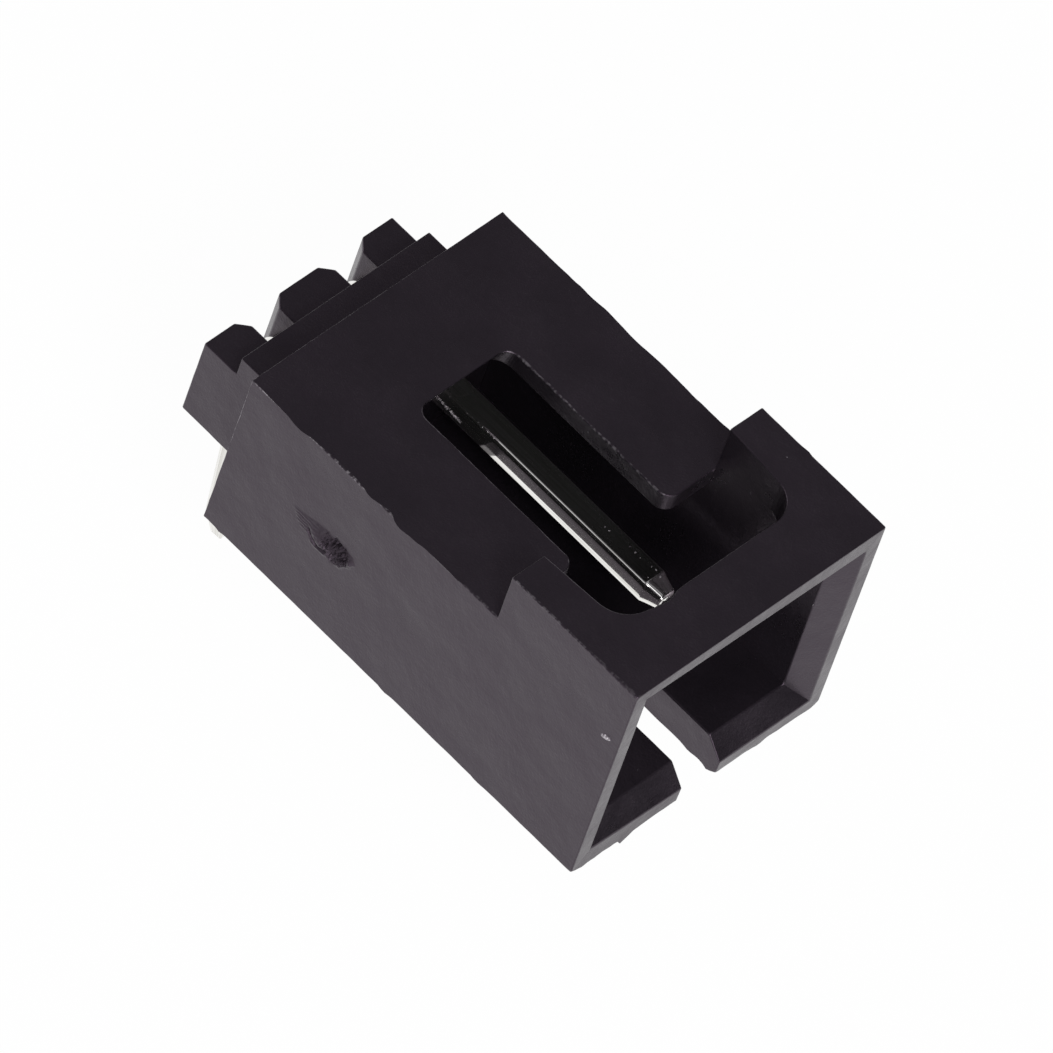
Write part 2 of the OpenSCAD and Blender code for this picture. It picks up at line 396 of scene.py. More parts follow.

# Each worn edge runs between two points. Its slides are pairs of a share of the run and the mm by which the
# edge of that face reaches out as flash or, below zero, is worn back. Its wobble is noise added to them, and
# its wave that noise's size, both in mm. Its rubs and painted highlights are pairs of a share and how pale
# its rounding is painted there, partly as rubbed wear and partly as painted highlight.
up, leftward, forward, rearward = (0, 0, 1), (-1, 0, 0), (0, -1, 0), (0, 1, 0)
wornEdges = {
    "rearRoofLeft": {
        "from": (left, rear, rearTop), "to": (left, collarRear, rearTop), "face": up,
        "wobble": 0.012, "wave": 0.25,
        "slides": ((0, 0.03), (0.10, 0.05), (0.21, 0.10), (0.235, 0.05), (0.32, 0.0), (0.41, -0.02),
                   (0.45, 0.02), (0.49, 0.08), (0.56, -0.015), (0.60, 0.12), (0.615, 0.135), (0.67, 0.09),
                   (0.71, 0.055), (0.84, 0.055), (0.89, -0.03), (1, 0)),
        "rubsAndPaintedHighlights": ((0, 0.2), (0.06, 0.35), (0.22, 0.35), (0.30, 0.2), (0.40, 0.25), (0.50, 0.15),
                   (0.62, 0.15), (0.7, 0.08), (1, 0.08))},
    "rearRoofRight": {
        "from": (right, rear, rearTop), "to": (right, collarRear, rearTop), "face": up,
        "wobble": 0.02, "wave": 0.3,
        "slides": ((0, 0), (0.2, 0.02), (0.4, 0.05), (0.55, 0.02), (0.62, 0.05), (0.8, 0.03), (1, 0.05))},
    "collarRoofRight": {
        "from": (right, collarRear, top), "to": (right, front, top), "face": up,
        "wobble": 0.02, "wave": 0.35,
        "slides": ((0, 0), (0.28, 0), (0.36, 0.035), (0.385, 0.035), (0.41, -0.02), (0.5, 0), (0.7, 0.015),
                   (1, 0))},
    "collarRoofLeft": {
        "from": (left, collarRear, top), "to": (left, front, top), "face": up,
        "wobble": 0.016, "wave": 0.3,
        "slides": ((0, 0), (0.5, -0.01), (0.8, -0.03), (1, -0.045)),
        "rubsAndPaintedHighlights": ((0, 0.12), (1, 0.05))},
    "collarSideTop": {
        "from": (left, collarRear, top), "to": (left, front, top), "face": leftward,
        "slides": ((0, 0), (0.6, 0), (0.85, -0.03), (1, -0.045))},
    "collarRimLeft": {
        "from": (left, front, top), "to": (left, front, top - cornerRun), "face": forward,
        "slides": cornerSlides},
    "collarRimTop": {
        "from": (left, front, top), "to": (left + cornerRun, front, top), "face": forward,
        "slides": cornerSlides},
    "seatLeft": {
        "from": (left, rear, 0), "to": (left, front, 0), "face": leftward,
        "wobble": 0.012, "wave": 0.35,
        "slides": ((0, -0.03), (0.03, 0), (0.04, 0.05), (0.06, 0), (0.47, 0), (0.49, 0.05), (0.52, 0),
                   (0.72, 0), (0.74, 0.04), (0.77, 0), (0.98, 0), (1, -0.05))},
    "frontLowLeft": {
        "from": (left, front, 0), "to": (-keyHalf, front, 0), "face": forward,
        "wobble": 0.012, "wave": 0.3,
        "slides": ((0, -0.03), (0.05, 0.03), (0.11, 0.09), (0.17, 0.05), (0.22, 0.07), (0.30, 0.03),
                   (0.38, 0.05), (0.435, 0.02), (0.465, 0.20), (0.49, 0.24), (0.54, 0.12), (0.60, 0.03),
                   (0.72, 0), (1, 0))},
    "frontLowRight": {
        "from": (keyHalf, front, 0), "to": (right, front, 0), "face": forward,
        "wobble": 0.012, "wave": 0.3,
        "slides": ((0, -0.06), (0.10, -0.08), (0.20, -0.08), (0.28, -0.11), (0.34, 0), (0.42, 0.075),
                   (0.45, 0.06), (0.50, -0.04), (0.60, 0.02), (0.75, 0.03), (0.92, 0.08), (1, 0.0))},
    "keyLowRight": {
        "from": (keyHalf, front, 0), "to": (keyHalf, keyRear, 0), "face": leftward,
        "wobble": 0.02, "wave": 0.4,
        "slides": ((0, -0.06), (0.012, 0), (0.0227, 0.10), (0.045, 0.03), (0.06, 0), (0.094, 0.045),
                   (0.13, 0), (1, 0))},
    "slotLeft": {
        "from": (-slotHalf, slotRear, rearTop), "to": (-slotHalf, collarRear, rearTop), "face": up,
        "wobble": 0.03, "wave": 0.3,
        "slides": ((0, 0), (0.9, 0.0), (0.96, 0.05), (1, 0.05)),
        "rubsAndPaintedHighlights": ((0, 0.10), (1, 0.10))},
    "slotRight": {
        "from": (slotHalf, slotRear, rearTop), "to": (slotHalf, collarRear, rearTop), "face": up,
        "wobble": 0.018, "wave": 0.4,
        "slides": ((0, 0), (1, 0)),
        "rubsAndPaintedHighlights": ((0, 0.15), (1, 0.15))},
    "barTop": {
        "from": (nickLeft, barRear, top), "to": (nickRight, barRear, top), "face": up,
        "slides": ((0, 0), (0.2, -0.07), (0.5, -0.12), (0.65, -0.11), (0.85, -0.02), (1, 0))},
    "barWall": {
        "from": (nickLeft, barRear, top), "to": (nickRight, barRear, top), "face": rearward,
        "slides": ((0, 0), (0.2, -0.2), (0.5, -0.32), (0.65, -0.3), (0.85, -0.05), (1, 0))},
    "rearRoof": {
        "from": (left, rear, rearTop), "to": (right, rear, rearTop), "face": up,
        "wobble": 0.012, "wave": 0.3,
        "slides": ((0, 0), (1, 0)),
        "rubsAndPaintedHighlights": ((0, 0.14), (0.3, 0.10), (0.75, 0.08), (1, 0.04))},
    "rearSideLeft": {
        "from": (left, rear, rearTop), "to": (left, rear, 0), "face": leftward,
        "wobble": 0.025, "wave": 0.25,
        "slides": ((0, 0), (1, 0)),
        "rubsAndPaintedHighlights": ((0, 0.35), (0.5, 0.3), (1, 0.1))},
}

# corners that were knocked off, by a flat cut across them
cornerChips = (
    {"at": (right, front, 0), "toward": (1, -0.5, -1), "cut": 0.11},
    {"at": (left, front, 0), "toward": (-0.6, -1, -1), "cut": 0.05},
    {"at": (keyHalf, front, 0), "toward": (-1, -0.7, -1), "cut": 0.07},
)

# The gate's torn mark on the left face, in mm by y and z: a low bump, torn along its upper side and cracked
# along its lower one, that ends in a rough pit. Shares run along it from its rear end to its front end, and
# sides across it from -1 at its lower edge to 1 at its upper one. Each pair of them goes from none to full.
# The spine gives z and the half widths give mm, by share. Waves and crumbs are slow and fine noise, and a
# name that ends in one of them says how much of it is added.
gateMark = {
    "low": (-5.34, 1.90),
    "high": (-3.06, 3.16),
    "cell": 0.02,
    "waveSize": 0.16,
    "waveSeed": 3.1,
    "crumbSize": 0.05,
    "crumbSeed": 7.7,
    "ends": (-3.22, -5.16),
    "spine": ((0, 2.70), (0.2, 2.54), (0.5, 2.53), (0.78, 2.54), (1, 2.64)),
    "halfWidths": ((0, 0.05), (0.2, 0.23), (0.5, 0.38), (0.8, 0.40), (0.93, 0.22), (1, 0.04)),
    "rearShares": (0, 0.15),
    "frontShares": (1, 0.94),
    "edgeSides": (1.08, 0.83),
    "edgeWave": 0.15,
    "edgeCrumb": 0.10,
    "rise": 0.07,
    "riseCrumb": 0.25,
    "riseLeast": 0.1,            # share of the rise at the rear end
    "riseShares": (0.25, 0.5),
    "crestSide": -0.3,
    "crestReach": 0.6,
    "tornSides": (-0.25, 0.05),
    "tornPlain": 0.75,
    "tornCrumb": 0.5,
    "streak": 0.085,
    "streakWave": 1.5,
    "streakHeight": 0.007,
    "streakShares": (0.42, 0.27),
    "streakSides": (0.85, 0.65),
    "streakTorn": (-0.1, -1.1),  # from the middle of a streak downwards
    "ridge": ((-3.90, 2.55), (-4.02, 2.42), (-4.22, 2.35)),
    "ridgeWidth": 0.09,
    "ridgeHeight": 0.02,
    "lip": ((-3.95, 2.16), (-4.07, 2.135), (-4.32, 2.135)),
    "lipWidth": 0.035,
    "lipHeight": 0.022,
    "pit": (-4.60, 2.53),
    "pitRadius": 0.37,
    "pitRim": (1.05, 0.75),      # of the radius
    "pitWave": 0.28,
    "pitCrumb": 0.25,
    "pitDepth": 0.22,
    "pitTorn": 0.8,
    "floorPlain": 0.7,
    "floorWave": 0.3,
    "floorCrumb": 1.2,
    "crack": ((-3.81, 2.43), (-3.92, 2.30), (-4.09, 2.22), (-4.32, 2.22)),
    "crackWidth": 0.044,
    "crackDepth": 0.17,
    "crackTorn": 2.5,
}

# A small torn flake near the front of the left face, in mm by y and z; its pale paint is partly whitened
# tear and partly painted glint
flakeMark = {
    "low": (-12.50, 4.44),
    "high": (-12.14, 4.78),
    "cell": 0.02,
    "crumbSize": 0.05,
    "crumbSeed": 1.3,
    "at": (-12.32, 4.61),
    "radii": (0.13, 0.06),
    "drop": 0.4,                 # mm by which it slants down for each mm towards the rear
    "rim": (1.2, 0.2),           # squared distance, in radii, from none to full height
    "height": 0.03,
    "heightCrumb": 0.4,
    "tearAndGlintPaleness": 14,
}


def splitEdge(edge, pieces):
    parts, vert = [edge], edge.verts[0]
    for still in range(pieces, 1, -1):
        part, vert = bmesh.utils.edge_split(edge, vert, 1 / still)
        parts.append(part)
    return parts


# share of the run between an edge's two points at which a point lies, or None away from it
def shareAlong(sizes, edge, point):
    start, end = Vector(edge["from"]) * mm, Vector(edge["to"]) * mm
    run = end - start
    share = (point - start).dot(run) / run.length_squared
    aside = point - start - run * share
    if abs(share - 0.5) >= 0.5 + sizes["wearPast"] or aside.length > sizes["wearReach"] * mm:
        return None
    return within01(share)


# mm by which a face's edge reaches out at a point, where the edge runs along heading
def slideAt(sizes, point, normal, heading):
    slide = sizes["wobble"] * noise.noise(point / (sizes["wobbleWave"] * mm))
    if point.y > (sizes["blockRear"] + sizes["near"]) * mm:
        slide -= sizes["postRound"]
    elif abs(point.y / mm - rear) < sizes["rearReach"]:
        slide += sizes["rearCrisp"]
    for edge in wornEdges.values():
        share = shareAlong(sizes, edge, point)
        run = (Vector(edge["to"]) - Vector(edge["from"])).normalized()
        alike = min(normal.dot(Vector(edge["face"])), abs(heading.dot(run)))
        if share is None or alike < sizes["sameWear"]:
            continue
        slide += follow(edge["slides"], share)
        if "wobble" in edge:
            slide += edge["wobble"] * noise.noise(point / (edge["wave"] * mm))
    return slide


# how pale an edge's rounding is painted at a point, partly rubbed wear and partly painted highlight
def rubAndHighlightAt(sizes, point):
    paleRubAndHighlight = 0
    for edge in wornEdges.values():
        share = shareAlong(sizes, edge, point) if "rubsAndPaintedHighlights" in edge else None
        if share is not None:
            paleRubAndHighlight = max(paleRubAndHighlight, follow(edge["rubsAndPaintedHighlights"], share))
    return paleRubAndHighlight


# moves the points at the rim of each flat face within that face, so that the face stays flat
def wearEdges(sizes, bm, flats):
    moves = {}
    for vert in bm.verts:
        normals = [face.normal for face in vert.link_faces if face in flats]
        rims = [loop for edge in vert.link_edges for loop in edge.link_loops
                if loop.face in flats and sum(face in flats for face in edge.link_faces) == 1]
        if len(rims) != 2 or min(normals[0].dot(normal) for normal in normals) < sizes["sameFace"]:
            continue
        headings = [(loop.link_loop_next.vert.co - loop.vert.co).normalized() for loop in rims]
        if headings[0].dot(headings[1]) > sizes["sameRim"]:
            headings = [(headings[0] + headings[1]).normalized()]
        moves[vert] = sum((heading.cross(normals[0]) * slideAt(sizes, vert.co, normals[0], heading) * mm
                           for heading in headings), Vector())
    return moves


# the middle of each rounded edge follows the mean of its two sides, and a rounded corner its own edges
def followSides(sizes, bm, moves, flats):
    free = [v for v in bm.verts if v not in moves and not any(face in flats for face in v.link_faces)]
    for share in (sizes["arcShare"], 1):
        step = {}
        for vert in (v for v in free if v not in moves):
            others = [edge.other_vert(vert) for edge in vert.link_edges]
            sides = [moves[other] for other in others if other in moves]
            if sides:
                step[vert] = sum(sides, Vector()) / len(sides) * share
        moves.update(step)


# splits the front face at its mitres and tips its strips a little, as such thin walls draw in on cooling
def leanRim(sizes, bm):
    leans, inset, near = sizes["rimLeans"], sizes["rimWidth"], sizes["near"]

    def vertAt(x, z):
        return min(bm.verts, key=lambda v: (v.co - Vector((x, front, z)) * mm).length)

    for x, inward in ((left, inset), (right, -inset)):
        for z, innerZ in ((0, inset), (top, top - inset)):
            outer, inner = vertAt(x, z), vertAt(x + inward, innerZ)
            shared = [face for face in outer.link_faces if face in inner.link_faces]
            face = next(face for face in shared if face.normal.y < -sizes["sameFace"])
            bmesh.utils.face_split(face, outer, inner)
    for vert in [v for v in bm.verts if abs(v.co.y / mm - front) < near]:
        x, z = vert.co.x / mm, vert.co.z / mm
        if abs(x - left - inset) < near:
            vert.co.y += leans["left"] * mm
        if abs(x - right) < near:
            vert.co.y += leans["right"] * mm
        if abs(z) < near:
            vert.co.y += leans["low"] * mm


# the rear end of the latch slot leans back, so that it doesn't show from above the socket
def leanSlotEnd(sizes, bm):
    for vert in bm.verts:
        x, y, z = vert.co / mm
        share = (y - slotRear) / sizes["slotRound"] + 1
        atFoot = abs(x) < slotHalf + sizes["near"] and abs(z - sizes["slotFoot"]) < sizes["near"]
        if atFoot and 0 < share < 1 + sizes["near"]:
            vert.co.y += sizes["slotLean"] * share * mm


def chipCorners(sizes, bm, flats):
    for chip in cornerChips:
        toward = Vector(chip["toward"]).normalized()
        corner = Vector(chip["at"]) * mm
        for vert in bm.verts:
            depth = (vert.co - corner).dot(toward) + chip["cut"] * mm
            if depth < 0 or (vert.co - corner).length > sizes["chipReach"] * chip["cut"] * mm:
                continue
            way = toward.copy()
            for face in vert.link_faces:
                if face in flats:
                    way -= face.normal * way.dot(face.normal)
            if way.length > sizes["chipGrip"]:
                vert.co -= way * depth / way.dot(toward)


# cuts a fine grid into the left face between two corners given as y and z
def gridPatch(sizes, bm, mark):
    low, high = mark["low"], mark["high"]
    middle = Vector((left, (low[0] + high[0]) / 2, (low[1] + high[1]) / 2)) * mm
    onLeft = [face for face in bm.faces if face.normal.x < -sizes["sameFace"]
              and abs(face.calc_center_median().x - middle.x) < sizes["near"] * mm]
    faces = [max(onLeft, key=lambda face: face.calc_area())]

    def cut(axis, place):
        spot, way = Vector(middle), Vector()
        spot[axis], way[axis] = place * mm, 1
        geom = faces + [e for f in faces for e in f.edges] + [v for f in faces for v in f.verts]
        geom = list(dict.fromkeys(geom))   # each once, and in the same order each time
        done = bmesh.ops.bisect_plane(bm, geom=geom, plane_co=spot, plane_no=way,
                                      dist=sizes["cutReach"] * mm)
        return [g for g in done["geom"] if isinstance(g, bmesh.types.BMFace)]

    def within(face, axis):
        return low[axis - 1] < face.calc_center_median()[axis] / mm < high[axis - 1]

    for axis in (1, 2):
        for place in (low[axis - 1], high[axis - 1]):
            faces = cut(axis, place)
        faces = [face for face in faces if within(face, axis)]
    for axis in (1, 2):
        count = round((high[axis - 1] - low[axis - 1]) / mark["cell"])
        for i in range(1, count):
            faces = cut(axis, low[axis - 1] + (high[axis - 1] - low[axis - 1]) * i / count)
    return faces


# mm from a place to the nearest point on a line through points, all given as y and z
def nearest(points, y, z):
    gaps = []
    for (ay, az), (by, bz) in zip(points, points[1:]):
        run, here = Vector((by - ay, bz - az)), Vector((y - ay, z - az))
        gaps.append((here - run * within01(here.dot(run) / run.length_squared)).length)
    return min(gaps)


# mm by which the gate's mark stands out of the left face, or into it below zero, how torn it is and how pale
def gateShape(mark, y, z):
    wave = noise.noise(Vector((y / mark["waveSize"], z / mark["waveSize"], mark["waveSeed"])))
    crumb = noise.noise(Vector((y / mark["crumbSize"], z / mark["crumbSize"], mark["crumbSeed"])))
    share = (y - mark["ends"][0]) / (mark["ends"][1] - mark["ends"][0])
    if not 0 < share < 1:
        return 0, 0, 0
    side = (z - follow(mark["spine"], share)) / follow(mark["halfWidths"], share)
    edge = abs(side) + mark["edgeWave"] * wave + mark["edgeCrumb"] * crumb
    inside = ramp(edge, *mark["edgeSides"])
    inside *= ramp(share, *mark["rearShares"]) * ramp(share, *mark["frontShares"])
    height = mark["rise"] * inside * bell((side - mark["crestSide"]) / mark["crestReach"])
    height *= 1 + mark["riseCrumb"] * crumb
    height *= mark["riseLeast"] + (1 - mark["riseLeast"]) * ramp(share, *mark["riseShares"])
    torn = inside * ramp(side, *mark["tornSides"]) * (mark["tornPlain"] + mark["tornCrumb"] * crumb)
    nearRear = inside * ramp(share, *mark["streakShares"]) * ramp(side, *mark["streakSides"])
    streak = math.sin(z * 2 * math.pi / mark["streak"] + mark["streakWave"] * wave)
    height += mark["streakHeight"] * nearRear * streak
    torn += nearRear * (ramp(streak, *mark["streakTorn"]) - torn)
    ridge = bell(nearest(mark["ridge"], y, z) / mark["ridgeWidth"])
    height += mark["ridgeHeight"] * ridge
    torn *= 1 - ridge
    height += mark["lipHeight"] * bell(nearest(mark["lip"], y, z) / mark["lipWidth"])
    fromPit = math.hypot(y - mark["pit"][0], z - mark["pit"][1]) / mark["pitRadius"]
    deep = ramp(fromPit + mark["pitWave"] * wave + mark["pitCrumb"] * crumb, *mark["pitRim"])
    floor = mark["floorPlain"] + mark["floorWave"] * wave + mark["floorCrumb"] * crumb
    height -= mark["pitDepth"] * deep * floor
    crack = bell(nearest(mark["crack"], y, z) / mark["crackWidth"])
    height -= mark["crackDepth"] * crack
    return height, max(torn, mark["pitTorn"] * deep, within01(mark["crackTorn"] * crack)), 0


# the same for the flake
def flakeShape(mark, y, z):
    crumb = noise.noise(Vector((y / mark["crumbSize"], z / mark["crumbSize"], mark["crumbSeed"])))
    dy, dz = y - mark["at"][0], z - mark["at"][1]
    out = (dy / mark["radii"][0]) ** 2 + ((dz + mark["drop"] * dy) / mark["radii"][1]) ** 2
    raised = ramp(out, *mark["rim"]) * (1 + mark["heightCrumb"] * crumb)
    # the raised flake is painted pale, partly as whitened tear and partly as painted glint
    return mark["height"] * raised, 0, mark["tearAndGlintPaleness"] * raised


def pressMark(sizes, bm, mark, shapeAt, layers):
    faces = gridPatch(sizes, bm, mark)
    inner = set(faces)
    shapes = {v: shapeAt(mark, v.co.y / mm, v.co.z / mm) for f in faces for v in f.verts}
    for loop in (loop for face in faces for loop in face.loops):
        for layer, value in zip(layers, shapes[loop.vert][1:]):
            loop[layer] = value
    for vert, shape in shapes.items():
        if all(face in inner for face in vert.link_faces):
            vert.co.x -= shape[0] * mm
    return inner


# flat faces keep their own normal, and the rounded ones beside them take up the turn
def shadingNormals(bm, soft):
    bm.normal_update()
    normals = []
    for face in bm.faces:
        face.smooth = True
        for loop in face.loops:
            flat = [other.normal for other in loop.vert.link_faces if other not in soft]
            if face not in soft:
                normals.append(face.normal.copy())
            elif flat:
                normals.append(max(flat, key=face.normal.dot).copy())
            else:
                normals.append(loop.vert.normal.copy())
    return normals


def makeHousing(sizes):
    bm = bmesh.new()
    bm.from_mesh(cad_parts["housing"].data)
    bmesh.ops.remove_doubles(bm, verts=bm.verts, dist=sizes["mergeReach"] * mm)
    flat = math.radians(sizes["flatAngle"])
    bmesh.ops.dissolve_limit(bm, angle_limit=flat, verts=bm.verts, edges=bm.edges)
    bm.normal_update()
    leanRim(sizes, bm)
    leanSlotEnd(sizes, bm)
    sharp, sliver = math.radians(sizes["sharpAngle"]), math.radians(sizes["sliverAngle"])
    slivers = {edge for face in bm.faces for loop in face.loops if loop.calc_angle() < sliver
               for edge in (loop.edge, loop.link_loop_prev.edge)}
    edges = [e for e in bm.edges if e.calc_face_angle(0) > sharp and e.is_convex and e not in slivers]
    spacing = sizes["rungSpacing"] * mm
    edges = [part for e in edges for part in splitEdge(e, round(e.calc_length() / spacing))]
    made = bmesh.ops.bevel(bm, geom=edges, offset=sizes["edgeRound"] * mm, segments=sizes["roundSteps"],
                           profile=sizes["roundProfile"], affect="EDGES", clamp_overlap=False)
    rounded = set(made["faces"])
    flats = {face for face in bm.faces if face not in rounded}
    # the rounded edges get their pale paint: rubbed wear and painted highlight
    rubAndHighlightLayer = bm.loops.layers.float.new("scuff")
    for loop in (loop for face in rounded for loop in face.loops):
        loop[rubAndHighlightLayer] = rubAndHighlightAt(sizes, loop.vert.co)
    moves = wearEdges(sizes, bm, flats)
    followSides(sizes, bm, moves, flats)
    for vert, move in moves.items():
        vert.co += move
    chipCorners(sizes, bm, flats)
    layers = (bm.loops.layers.float.new("torn"), bm.loops.layers.float["scuff"])
    gate = pressMark(sizes, bm, gateMark, gateShape, layers)
    flake = pressMark(sizes, bm, flakeMark, flakeShape, layers)
    mesh = bpy.data.meshes.new("housingMoulding")
    normals = shadingNormals(bm, rounded | gate | flake)
    bm.to_mesh(mesh)
    bm.free()
    mesh.normals_split_custom_set(normals)
    mesh.materials.append(nylon)
    return addPiece("housingMoulding", mesh)


moulding = makeHousing(mouldedHousing)
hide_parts("housing")
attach(moulding, "root")
print("housing made", len(moulding.data.polygons), "faces")


# Pins: square wire swept along its bent path by Geometry Nodes

bentPin = {
    "wire": {
        "Wire Side": wireSide,
        "Edge Radius": 0.07 * mm,
        "Edge Steps": 4,
        "Side Cuts": 2,
        "Bend Radius": 0.45 * mm,
        "Bend Steps": 16,
        "Tip Length": 0.42 * mm,
        "Tip Width": 0.40 * mm,
        "Tail Tip Length": 0.8 * mm,
        "Tail Tip Width": 0.3 * mm,
        "Ring Spacing": 0.03 * mm,
    },
    "tailLean": 5,           # degrees
    "endRound": 0.06,        # mm, on the rims of both ends
    "noseRound": 0.15,       # how far a mating tip's square end is pressed towards a round nose
    "noseCurve": 0.8,        # how far that round nose closes at its end
    "noseBulge": 0.08,       # mm by which that nose is drawn out
    "flatWeight": 100,       # how strongly the flat sides hold their own normal
}


def newTree(name, sizes):
    tree = bpy.data.node_groups.new(name, "GeometryNodeTree")
    kinds = {float: "NodeSocketFloat", int: "NodeSocketInt", tuple: "NodeSocketVector"}
    keys = {}
    for way in ("INPUT", "OUTPUT"):
        tree.interface.new_socket("Geometry", in_out=way, socket_type="NodeSocketGeometry")
    for label, value in sizes.items():
        socket = tree.interface.new_socket(label, in_out="INPUT", socket_type=kinds[type(value)])
        keys[label] = socket.identifier
    return tree, addNode(tree, "NodeGroupInput").outputs, keys


def growPiece(name, tree, keys, sizes, points=()):
    mesh = bpy.data.meshes.new(name)
    mesh.from_pydata(points, [], [])
    piece = addPiece(name, mesh)
    modifier = piece.modifiers.new("shape", "NODES")
    modifier.node_group = tree
    for label, value in sizes.items():
        modifier[keys[label]] = value
    return settle(piece)


def pinTree(sizes):
    tree, given, keys = newTree("bentSquareWire", sizes)
    line = addNode(tree, "GeometryNodeCurvePrimitiveLine", {
        "Start": given["Tip Point"], "End": given["Tail Point"]})
    three = addNode(tree, "GeometryNodeResampleCurve", {"Curve": line.outputs[0], "Count": 3})
    index = addNode(tree, "GeometryNodeInputIndex")
    middle = addNode(tree, "FunctionNodeCompare", {2: index.outputs[0], 3: 1},
                     data_type="INT", operation="EQUAL")
    bent = addNode(tree, "GeometryNodeSetPosition", {
        "Geometry": three.outputs[0], "Selection": middle.outputs[0], "Position": given["Corner Point"]})
    rounded = addNode(tree, "GeometryNodeFilletCurve", {
        "Curve": bent.outputs[0], "Radius": given["Bend Radius"], "Count": given["Bend Steps"]},
        mode="POLY")
    fine = addNode(tree, "GeometryNodeResampleCurve", {
        "Curve": rounded.outputs[0], "Length": given["Ring Spacing"]}, mode="LENGTH")
    turned = addNode(tree, "GeometryNodeSetCurveNormal", {
        "Curve": fine.outputs[0], "Normal": (1, 0, 0)}, mode="FREE")
    along = addNode(tree, "GeometryNodeSplineParameter").outputs["Length"]
    whole = addNode(tree, "GeometryNodeSplineLength").outputs["Length"]
    back = addNode(tree, "ShaderNodeMath", {0: whole, 1: along}, operation="SUBTRACT").outputs[0]
    tapers = []
    for end, gone in (("Tip", along), ("Tail Tip", back)):
        share = addNode(tree, "ShaderNodeMath", {0: given[end + " Width"], 1: given["Wire Side"]},
                        operation="DIVIDE")
        tapers.append(addNode(tree, "ShaderNodeMapRange", {
            "Value": gone, "From Min": 0.0, "From Max": given[end + " Length"],
            "To Min": share.outputs[0], "To Max": 1.0}).outputs[0])
    taper = addNode(tree, "ShaderNodeMath", {0: tapers[0], 1: tapers[1]}, operation="MULTIPLY")
    square = addNode(tree, "GeometryNodeCurvePrimitiveQuadrilateral", {
        "Width": given["Wire Side"], "Height": given["Wire Side"]})
    section = addNode(tree, "GeometryNodeFilletCurve", {
        "Curve": square.outputs[0], "Radius": given["Edge Radius"], "Count": given["Edge Steps"]},
        mode="POLY")
    sides = addNode(tree, "GeometryNodeSubdivideCurve", {
        "Curve": section.outputs[0], "Cuts": given["Side Cuts"]})
    keptPath = addNode(tree, "GeometryNodeCaptureAttribute", domain="POINT")
    keptPath.capture_items.new("FLOAT", "along")
    tree.links.new(turned.outputs[0], keptPath.inputs[0])
    tree.links.new(along, keptPath.inputs[1])
    keptSection = addNode(tree, "GeometryNodeCaptureAttribute", domain="POINT")
    keptSection.capture_items.new("VECTOR", "across")
    tree.links.new(sides.outputs[0], keptSection.inputs[0])
    tree.links.new(addNode(tree, "GeometryNodeInputPosition").outputs[0], keptSection.inputs[1])
    wire = addNode(tree, "GeometryNodeCurveToMesh", {
        "Curve": keptPath.outputs[0], "Profile Curve": keptSection.outputs[0], "Scale": taper.outputs[0],
        "Fill Caps": True})
    across = addNode(tree, "ShaderNodeSeparateXYZ", {0: keptSection.outputs[1]})
    spot = addNode(tree, "ShaderNodeCombineXYZ", {
        "X": across.outputs["X"], "Y": across.outputs["Y"], "Z": keptPath.outputs[1]})
    marked = addNode(tree, "GeometryNodeStoreNamedAttribute", {
        "Geometry": wire.outputs[0], "Name": "wirePlace", "Value": spot.outputs[0]},
        data_type="FLOAT_VECTOR", domain="POINT")
    smooth = addNode(tree, "GeometryNodeSetShadeSmooth", {"Geometry": marked.outputs[0]})
    plain = addNode(tree, "GeometryNodeRealizeInstances", {"Geometry": smooth.outputs[0]})
    tinned = addNode(tree, "GeometryNodeSetMaterial", {"Geometry": plain.outputs[0], "Material": tin})
    addNode(tree, "NodeGroupOutput", {0: tinned.outputs[0]})
    return tree, keys


# rounds both ends of a wire by its rings and presses the mating tip a little towards a round nose
def roundEnds(mesh, sizes):
    bm = bmesh.new()
    bm.from_mesh(mesh)
    place = bm.verts.layers.float_vector["wirePlace"]
    rings = {}
    for vert in bm.verts:
        rings.setdefault(round(vert[place].z / mm, 4), []).append(vert)
    places = sorted(rings)
    half, reach = sizes["wire"]["Wire Side"] / 2, sizes["wire"]["Tip Length"] / mm
    rim = sizes["endRound"]
    for order, press, bulge in ((places, sizes["noseRound"], sizes["noseBulge"]), (places[::-1], 0, 0)):
        endPlaces = [at for at in order if abs(at - order[0]) < reach]
        middles = [sum((vert.co for vert in rings[at]), Vector()) / len(rings[at]) for at in endPlaces]
        inward = (middles[-1] - middles[0]).normalized()
        for at, middle in zip(endPlaces, middles):
            gone = abs(at - order[0])
            share = 1 - gone / reach
            cut = rim - math.sqrt(rim ** 2 - max(rim - gone, 0) ** 2)
            for vert in rings[at]:
                out = vert.co - middle
                nose = out.normalized() * half * math.sqrt(1 - (sizes["noseCurve"] * share) ** 2)
                out = out.lerp(nose, press * share)
                vert.co = middle + out * (1 - cut * mm / out.length) - inward * bulge * share * share * mm
    bm.to_mesh(mesh)
    bm.free()


# flat sides keep their own normal, and the small rounded edges take up the turn
def flattenShading(piece, sizes):
    modifier = piece.modifiers.new("flatFaces", "WEIGHTED_NORMAL")
    modifier.mode = "FACE_AREA"
    modifier.weight = sizes["flatWeight"]
    return settle(piece)


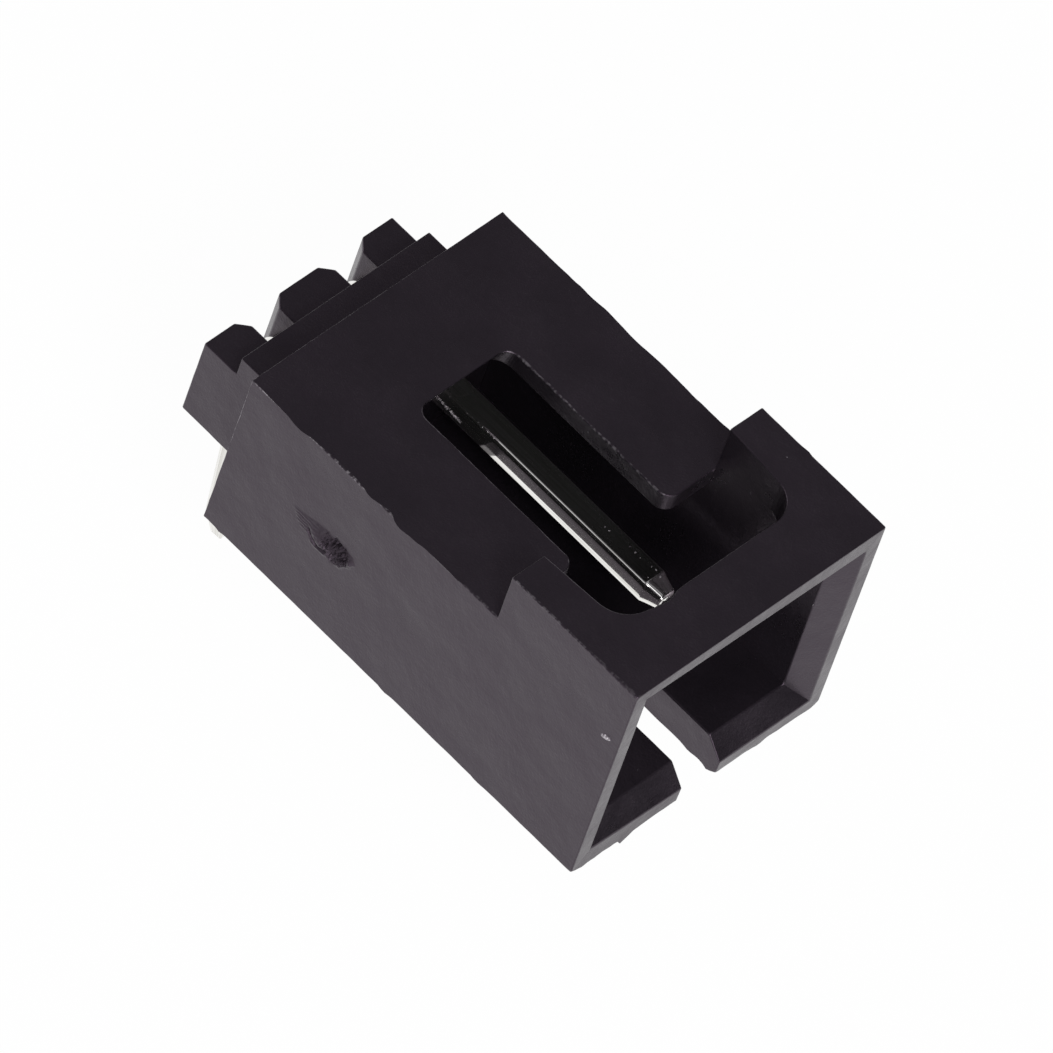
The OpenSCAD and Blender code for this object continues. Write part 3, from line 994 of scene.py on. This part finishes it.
def makePins(sizes):
    lean = math.radians(sizes["tailLean"])
    wireHeight = pinHigh.z - wireSide / 2
    tailDepth = -pinLow.z - sizes["wire"]["Tail Tip Width"] / 2 * math.sin(lean)
    builtTree = None
    for name, node in (("leftPin", "left_pin"), ("rightPin", "right_pin")):
        low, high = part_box(node)
        x = (low.x + high.x) / 2
        own = dict(sizes["wire"])
        own["Tip Point"] = (x, low.y, wireHeight)
        own["Corner Point"] = (x, wireHeight * math.tan(lean), wireHeight)
        own["Tail Point"] = (x, -tailDepth * math.tan(lean), -tailDepth)
        builtTree = builtTree or pinTree(own)
        pin = growPiece(name, *builtTree, own)
        roundEnds(pin.data, sizes)
        flattenShading(pin, sizes)
        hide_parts(node)
        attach(pin, "root")


makePins(bentPin)
print("pins made")


# Dust: pale crumbs of nylon that lie on the walls, on the right pin and where that pin was pressed in

pinTop = pinHigh.z / mm
dust = {
    "speck": {
        "Speck Size": 0.045 * mm,
        "Least Scale": (0.2, 0.2, 0.1),
        "Most Scale": (0.9, 0.6, 0.4),
        "Most Turn": (6.28, 6.28, 6.28),   # radians
        "Paleness": 1.2,
        "Seed": 4,
    },
    "places": (              # mm
        (slotHalf, -6.43, 4.75), (3.32, -10.10, top), (2.74, -9.90, 5.39), (-1.37, -11.98, 0.98),
        (2.82, -12.23, 3.89), (1.39, -8.37, pinTop), (1.14, -9.18, pinTop), (1.39, -9.33, pinTop),
        (1.26, -9.50, 2.75), (1.30, -7.68, pinTop), (1.31, -7.80, pinTop), (1.36, -8.71, pinTop),
        (1.37, -8.55, pinTop), (1.40, -9.02, pinTop), (1.42, -9.14, pinTop),
    ),
    "rows": (                # along the pin's left side, in mm
        {"from": (0.94, -2.85, 2.42), "to": (0.94, -3.70, 2.34), "count": 40, "spread": 0.07},
        {"from": (0.97, -3.60, 2.75), "to": (0.97, -4.60, 2.75), "count": 12, "spread": 0.05},
    ),
    "stray": 0.8,            # of a row's spacing
    "noiseStep": 1.37,       # from crumb to crumb
    "noiseSeed": 0.5,
}


def dustTree(sizes):
    tree, given, keys = newTree("dustSpecks", sizes)
    speck = addNode(tree, "GeometryNodeMeshIcoSphere", {"Radius": given["Speck Size"], "Subdivisions": 1})
    pale = addNode(tree, "GeometryNodeStoreNamedAttribute", {
        "Geometry": speck.outputs[0], "Name": "scuff", "Value": given["Paleness"]},
        data_type="FLOAT", domain="POINT")
    turn = addNode(tree, "FunctionNodeRandomValue", {
        0: (0, 0, 0), 1: given["Most Turn"], "Seed": given["Seed"]}, data_type="FLOAT_VECTOR")
    size = addNode(tree, "FunctionNodeRandomValue", {
        0: given["Least Scale"], 1: given["Most Scale"], "Seed": given["Seed"]}, data_type="FLOAT_VECTOR")
    specks = addNode(tree, "GeometryNodeInstanceOnPoints", {
        "Points": given["Geometry"], "Instance": pale.outputs[0], "Rotation": turn.outputs[0],
        "Scale": size.outputs[0]})
    plain = addNode(tree, "GeometryNodeRealizeInstances", {"Geometry": specks.outputs[0]})
    dusty = addNode(tree, "GeometryNodeSetMaterial", {"Geometry": plain.outputs[0], "Material": nylon})
    addNode(tree, "NodeGroupOutput", {0: dusty.outputs[0]})
    return tree, keys


def makeDust(sizes):
    noise.seed_set(sizes["speck"]["Seed"])   # without a seed, noise_vector takes another one each time
    places = [Vector(place) for place in sizes["places"]]
    for row in sizes["rows"]:
        start, run = Vector(row["from"]), Vector(row["to"]) - Vector(row["from"])
        for i in range(row["count"]):
            shift = noise.noise_vector(Vector((i * sizes["noiseStep"], run.x, sizes["noiseSeed"])))
            aside = Vector((0, 0, shift.z * row["spread"]))
            places.append(start + run * (i + 0.5 + sizes["stray"] * shift.x) / row["count"] + aside)
    points = [place * mm for place in places]
    specks = growPiece("dustSpecks", *dustTree(sizes["speck"]), sizes["speck"], points)
    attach(specks, "root")
    return specks


crumbs = makeDust(dust)
print("dust made", len(crumbs.data.polygons), "faces")
